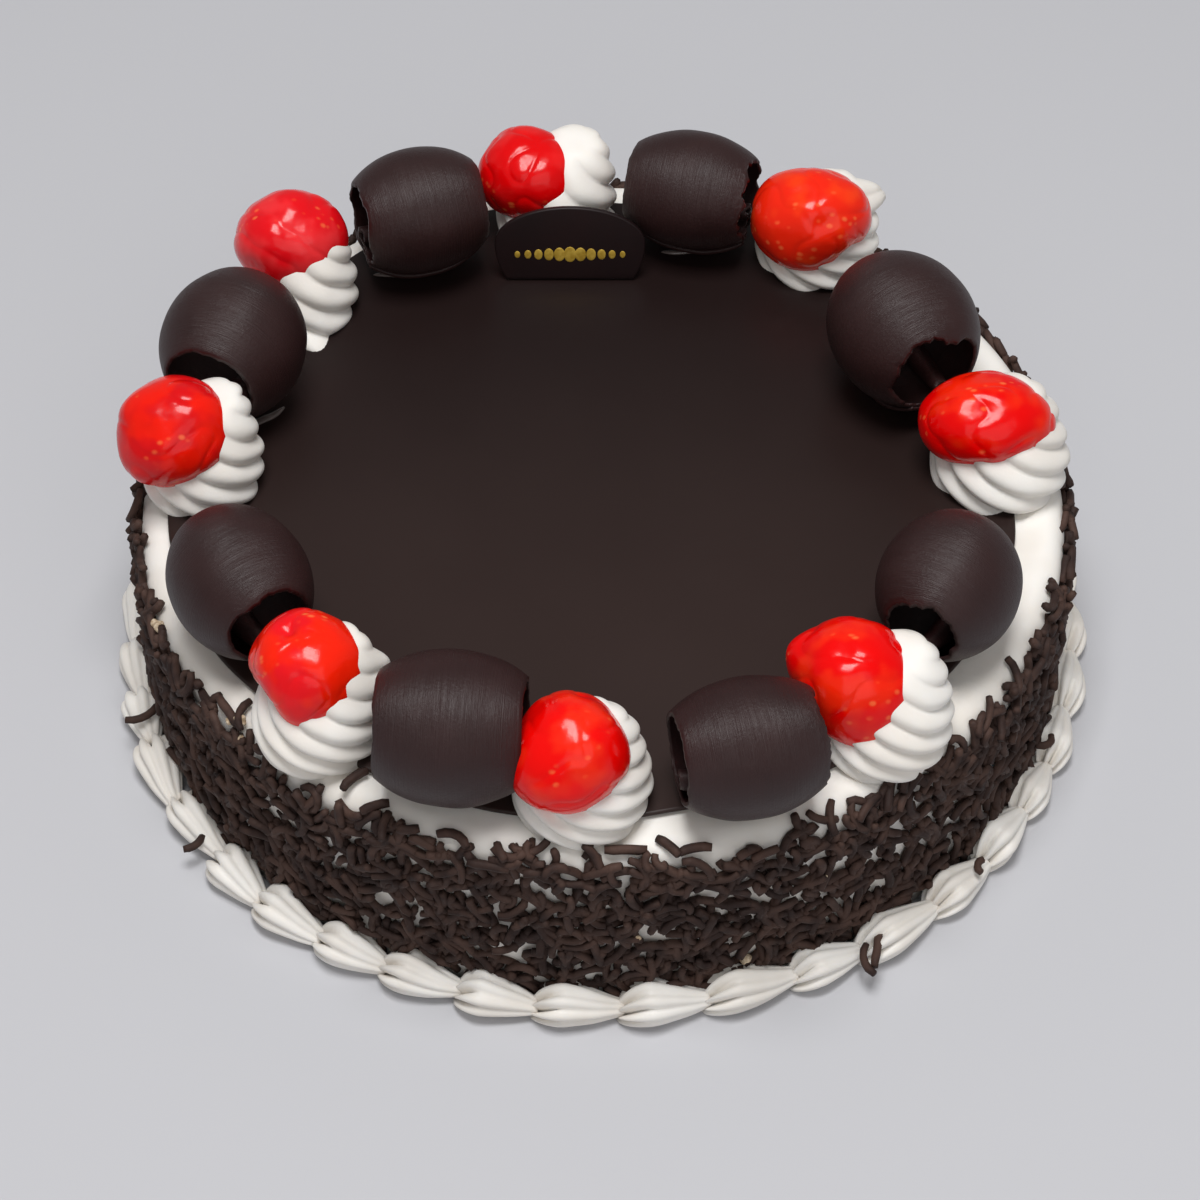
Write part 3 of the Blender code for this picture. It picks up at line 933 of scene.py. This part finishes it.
def strand_mesh(chance):
    """A short rod, bent to a part of a circle or to a hook."""
    shape = bmesh.new()
    length = chance.uniform(*STRAND_LENGTHS)
    bmesh.ops.create_cone(
        shape, cap_ends=True, segments=STRAND_SIDES, radius1=1.0, radius2=1.0, depth=length
    )
    lengthwise = []
    for edge in shape.edges:
        if abs(edge.verts[0].co.z - edge.verts[1].co.z) > length / 2:
            lengthwise.append(edge)
    bmesh.ops.subdivide_edges(shape, edges=lengthwise, cuts=STRAND_CUTS, use_grid_fill=True)
    bend = chance.choice(STRAND_BENDS) * chance.choice((-1, 1))
    hook = chance.uniform(-STRAND_HOOK, STRAND_HOOK)
    thick = STRAND_RADIUS * chance.uniform(*STRAND_THICKNESS)
    for vertex in shape.verts:
        along = vertex.co.z / (length / 2)
        blunt = 1 - STRAND_BLUNT * abs(along) ** 8
        angle = bend * along + hook * along * abs(along)
        middle = Vector((math.sin(angle * 0.6), 0.0, math.cos(angle * 0.6))) * along * length / 2
        across = Vector((math.cos(angle), 0.0, -math.sin(angle)))
        side = vertex.co.x * thick * blunt
        vertex.co = middle + across * side + Vector((0.0, vertex.co.y * thick * blunt, 0.0))
    mesh = bpy.data.meshes.new("strand")
    shape.to_mesh(mesh)
    shape.free()
    return mesh


def lay_strand(shape, mesh, place, outward, turn, pitch):
    """Add a strand at a place, lying in the surface there and turned and tipped in it."""
    frame_up = outward.normalized()
    sideways = Vector((-frame_up.y, frame_up.x, 0.0))
    if sideways.length < 0.1:
        sideways = Vector((1.0, 0.0, 0.0))
    sideways.normalize()
    onward = frame_up.cross(sideways)
    axes = Matrix((sideways, frame_up, onward)).transposed().to_4x4()
    spin = Matrix.Rotation(turn, 4, "Y") @ Matrix.Rotation(pitch, 4, "X")
    rod = mesh.copy()
    rod.transform(Matrix.Translation(place) @ axes @ spin)
    shape.from_mesh(rod)
    bpy.data.meshes.remove(rod)


def strand_top(bearing):
    """How high the strands reach at a bearing: ragged, and higher below some swirls."""
    high = STRAND_HIGHEST + 1.6 * MM * wander(polar(bearing, 1.0), 9.0, 2)
    high += 1.2 * MM * wander(polar(bearing, 1.0), 30.0, 4)
    for number in STRAND_BANKED:
        aside = math.remainder(bearing - math.radians(SWIRLS[number][0]), math.tau)
        high += STRAND_BANK * math.exp(-((aside / STRAND_BANK_WIDTH) ** 2))
    return high


# Strands that lie on the rim: bearing in degrees, distance, height and turn in degrees.
RIM_STRANDS = (
    (-140.2, 97.2, 48.6, -59),
    (-138.7, 96.4, 49.6, -101),
    (-117.4, 96.7, 48.6, 21),
    (-121.6, 93.5, 49.4, 45),
    (-115.4, 99.6, 47.6, -100),
    (-112.5, 98.8, 48.0, 2),
    (-107.1, 96.8, 48.2, -28),
    (-87.4, 96.4, 48.4, 0),
    (-82.4, 96.2, 48.4, -44),
    (-101.7, 98.4, 47.6, -67),
    (-98.9, 97.4, 48.0, 19),
    (-79.5, 97.2, 48.0, 12),
    (-143.3, 106.3, 6.0, 43),
    (-162.4, 103.6, 8.8, 32),
    (-60.3, 107.0, 6.4, -80),
    (-58.4, 106.5, 6.8, -100),
    (-22.6, 102.5, 9.2, 22),
    (-42.2, 104.8, 8.2, 79),
)


def make_strands(chocolate):
    """Strands all round the wall, in two meshes, and the few that lie on the rim and border."""
    chance = random.Random(23)
    shapes = [strand_mesh(chance) for _ in range(STRAND_SHAPES)]
    layers = [bmesh.new(), bmesh.new()]
    for number in range(STRAND_COUNT):
        bearing = chance.uniform(-math.pi, math.pi)
        top = strand_top(bearing)
        height = STRAND_LOWEST + (top - STRAND_LOWEST) * chance.random()
        lift = STRAND_RADIUS * (0.7 + 1.7 * chance.random() ** 1.4)
        out = CAKE_RADIUS - STRAND_SINK
        over = height - (CAKE_HEIGHT - RIM_ROUND)
        outward = polar(bearing, 1.0)
        if over > 0:
            lean = math.asin(min(over / RIM_ROUND, 0.95))
            out -= RIM_ROUND * (1 - math.cos(lean))
            outward = polar(bearing, math.cos(lean), math.sin(lean))
        place = polar(bearing, out, height) + outward * lift
        turn = chance.uniform(-math.pi, math.pi)
        pitch = chance.gauss(0.0, STRAND_TIP)
        lay_strand(layers[number % 2], chance.choice(shapes), place, outward, turn, pitch)
    for bearing, distance, height, turn in RIM_STRANDS:
        place = polar(math.radians(bearing), distance * MM, height * MM)
        spin = math.radians(90 - turn)
        lay_strand(layers[0], chance.choice(shapes), place, Vector((0, 0, 1)), spin, 0.0)
    for mesh in shapes:
        bpy.data.meshes.remove(mesh)
    for name, shape in zip(("chocolate_strands_a", "chocolate_strands_b"), layers):
        bmesh.ops.recalc_face_normals(shape, faces=shape.faces)
        make_piece(name, shape, chocolate)


# Crumbs of sponge: bearing in degrees, distance, height and width in mm.
CRUMBS = (
    (-157.2, 98.6, 46.5, 2.4),
    (-158.6, 98.9, 45.2, 1.7),
    (-138.3, 96.8, 48.6, 2.6),
    (-139.3, 97.9, 47.8, 1.8),
    (-136.9, 98.6, 46.4, 1.5),
    (-73.3, 99.6, 10.5, 2.4),
    (-86.0, 100.2, 24.0, 1.3),
    (-64.0, 100.1, 31.0, 1.2),
)


def make_crumbs(sponge):
    """A few crumbs that fell while the cake was dressed."""
    shape = bmesh.new()
    for number, (bearing, distance, height, width) in enumerate(CRUMBS):
        crumb = bmesh.ops.create_icosphere(shape, subdivisions=3, radius=width / 2 * MM)
        middle = polar(math.radians(bearing), distance * MM, height * MM)
        for vertex in crumb["verts"]:
            bumpy = 1 + 0.5 * wander(vertex.co, 900.0, number)
            vertex.co = middle + vertex.co * bumpy
    return make_piece("sponge_crumbs", shape, sponge)


# Wet beads of glaze where curls and cream press into it: bearing in degrees, distance,
# length and width in mm, and turn off the tangent in degrees.
GLAZE_BEADS = (
    (126.5, 79.0, 9.0, 1.5, -36),
    (165.5, 74.5, 9.5, 1.8, -35),
    (76.0, 73.0, 9.0, 1.3, 14),
)


def make_glaze_beads(syrup):
    """Low smooth beads that lie on the glaze."""
    shape = bmesh.new()
    for bearing, distance, length, width, turn in GLAZE_BEADS:
        place = Matrix.Translation(polar(math.radians(bearing), distance * MM, DECK))
        place @= Matrix.Rotation(math.radians(bearing + 90 + turn), 4, "Z")
        place @= Matrix.Diagonal((length * MM / 2, width * MM / 2, BEAD_HEIGHT, 1.0))
        bmesh.ops.create_uvsphere(shape, u_segments=32, v_segments=16, radius=1.0, matrix=place)
    for vertex in shape.verts:
        aside = wander(vertex.co, BEAD_SCALE, 3)
        onward = wander(vertex.co, BEAD_SCALE, 5)
        vertex.co += Vector((aside, onward, 0.0)) * BEAD_WAVER
    return make_piece("glaze_beads", shape, syrup)


def make_floor():
    """The plain floor under the cake."""
    shape = bmesh.new()
    bmesh.ops.create_grid(shape, x_segments=1, y_segments=1, size=FLOOR_SIZE)
    mesh = bpy.data.meshes.new("floor")
    shape.to_mesh(mesh)
    shape.free()
    mesh.materials.append(floor_finish())
    floor = bpy.data.objects.new("floor", mesh)
    bpy.context.scene.collection.objects.link(floor)


def make_camera():
    """The camera, looking down on the cake from the front."""
    lens = bpy.data.cameras.new("camera")
    lens.lens = CAMERA_LENS
    lens.sensor_width = 36.0
    lens.clip_start = 0.01
    lens.clip_end = 20.0
    camera = bpy.data.objects.new("camera", lens)
    camera.location = CAMERA_PLACE
    camera.rotation_euler = (math.pi / 2 - CAMERA_PITCH, 0.0, 0.0)
    bpy.context.scene.collection.objects.link(camera)
    bpy.context.scene.camera = camera


def make_lamp(name, place, size, power):
    """A soft square lamp aimed at the middle of the cake."""
    lamp = bpy.data.lights.new(name, "AREA")
    lamp.shape = "SQUARE"
    lamp.size = size
    lamp.energy = power
    holder = bpy.data.objects.new(name, lamp)
    holder.location = place
    aim = LAMP_AIM - Vector(place)
    holder.rotation_euler = aim.to_track_quat("-Z", "Y").to_euler()
    bpy.context.scene.collection.objects.link(holder)


def light_scene():
    """Plain soft studio light."""
    scene = bpy.context.scene
    scene.view_settings.view_transform = "Standard"
    scene.world = bpy.data.worlds.new("studio")
    scene.world.use_nodes = True
    sky = scene.world.node_tree.nodes["Background"]
    sky.inputs["Color"].default_value = (1.0, 1.0, 1.0, 1.0)
    sky.inputs["Strength"].default_value = SKY_STRENGTH
    make_lamp("overhead_lamp", *OVERHEAD_LAMP)
    make_lamp("front_lamp", *FRONT_LAMP)


def main():
    make_camera()
    light_scene()
    make_floor()
    cream = cream_finish()
    make_body(cream)
    make_glaze(glaze_finish())
    make_glaze_beads(bead_finish())
    make_border(cream)
    rolled = curl_finish()
    for number in range(len(SWIRLS)):
        make_swirl(number, cream)
        make_cherry(number)
        make_curl(number, rolled)
    make_plaque(plaque_finish())
    make_plaque_motif(gold_finish())
    make_strands(strand_finish())
    make_crumbs(crumb_finish())


main()
